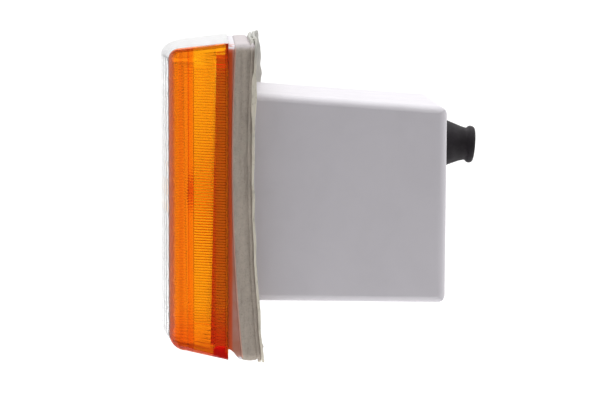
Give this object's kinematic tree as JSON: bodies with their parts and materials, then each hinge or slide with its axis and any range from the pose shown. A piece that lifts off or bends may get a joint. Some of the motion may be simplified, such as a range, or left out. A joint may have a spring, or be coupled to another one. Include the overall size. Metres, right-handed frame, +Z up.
{
  "type": "vehicle indicator lamp",
  "caption": "Tall front indicator lamp: ribbed amber side lens bonded to a clear front lens, silvered reflector, twin-filament amber bulb, foam gasket, deep pale housing and rubber cable boot.",
  "frame": {"origin": "centre of the four panel screw holes, in the plane of the lens's rear rim", "axes": "-X is the way the lamp shines, +X along the box to the cable boot, +Z up, -Y the outboard side with the amber lens section"},
  "size_m": [0.1646, 0.129, 0.1647],
  "materials": {
    "housing_white": "satin moulded",
    "foam_grey": "matt aged foam",
    "lens_amber": "clear amber, ribbed inside",
    "lens_clear": "clear, optics inside",
    "rubber_black": "matt moulded",
    "rubber_grey": "matt",
    "plated_steel": "zinc plated",
    "silvered": "vacuum silvered",
    "brass": "plain",
    "solder": "dull",
    "insulator": "brown board",
    "black_glass": "glossy",
    "tungsten": "drawn wire",
    "bulb_glass": "amber tinted"
  },
  "bodies": {
    "root": {"housing": "housing_white", "panel_gasket": "foam_grey", "lens_clear": "lens_clear", "lens_amber": "lens_amber", "lens_seal": "rubber_grey", "lens_screws": "plated_steel", "lens_screw_washers": "rubber_grey", "screw_inserts": "brass", "reflector": "silvered", "reflector_screws": "plated_steel", "bulb_holder_flange": "plated_steel", "bulb_holder_rivets": "plated_steel", "bulb_holder_shell": "plated_steel", "bulb_holder_plate": "insulator", "bulb_holder_contacts": "brass", "bulb_holder_spring": "plated_steel", "bulb_glass": "bulb_glass", "bulb_stem": "bulb_glass", "bulb_filaments": "tungsten", "bulb_cap": "brass", "bulb_cap_insulator": "black_glass", "bulb_contacts": "solder", "cable_boot": "rubber_black"}
  },
  "joints": []
}
